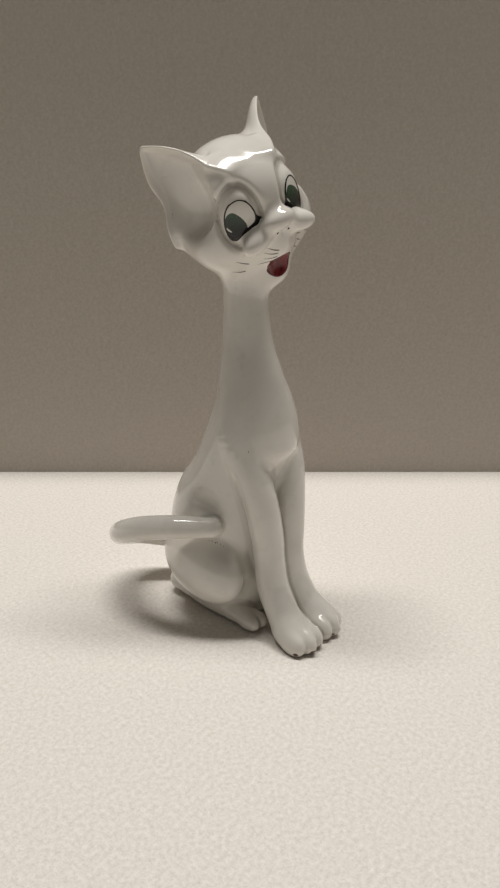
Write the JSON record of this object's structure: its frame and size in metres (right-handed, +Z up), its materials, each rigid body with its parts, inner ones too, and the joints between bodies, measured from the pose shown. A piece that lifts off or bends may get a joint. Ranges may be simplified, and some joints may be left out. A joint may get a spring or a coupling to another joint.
{
  "type": "cat figurine",
  "caption": "Seated long-necked cat figurine in white glazed earthenware, head turned and tilted, large cupped ears, painted eyes, open red mouth, tail looping round to the right flank",
  "frame": {"origin": "on the table plane, under the middle of the bounding box of the whole figurine, tail included", "axes": "+Z up; the cat's chest faces -Y; its right side, where the tail loops, is towards -X"},
  "size_m": [0.0996, 0.1426, 0.2865],
  "materials": {
    "white_glaze": "gloss white glaze over dark red earthenware",
    "black_enamel": "fired-on black enamel",
    "green_enamel": "fired-on dark green enamel",
    "white_enamel": "fired-on white enamel",
    "red_enamel": "fired-on deep red enamel",
    "brown_enamel": "fired-on brown-black enamel line"
  },
  "bodies": {
    "root": {"body": "white_glaze", "head": "white_glaze", "ear_right": "white_glaze", "ear_left": "white_glaze", "muzzle": "white_glaze", "chin": "white_glaze", "foreleg_right": "white_glaze", "foreleg_left": "white_glaze", "haunch_right": "white_glaze", "haunch_left": "white_glaze", "hind_foot_right": "white_glaze", "hind_foot_left": "white_glaze", "tail": "white_glaze", "eye_outline_right": "black_enamel", "eye_outline_left": "black_enamel", "iris_right": "green_enamel", "iris_left": "green_enamel", "catchlights": "white_enamel", "mouth_enamel": "red_enamel", "nostrils": "black_enamel", "whiskers": "brown_enamel"}
  },
  "joints": []
}
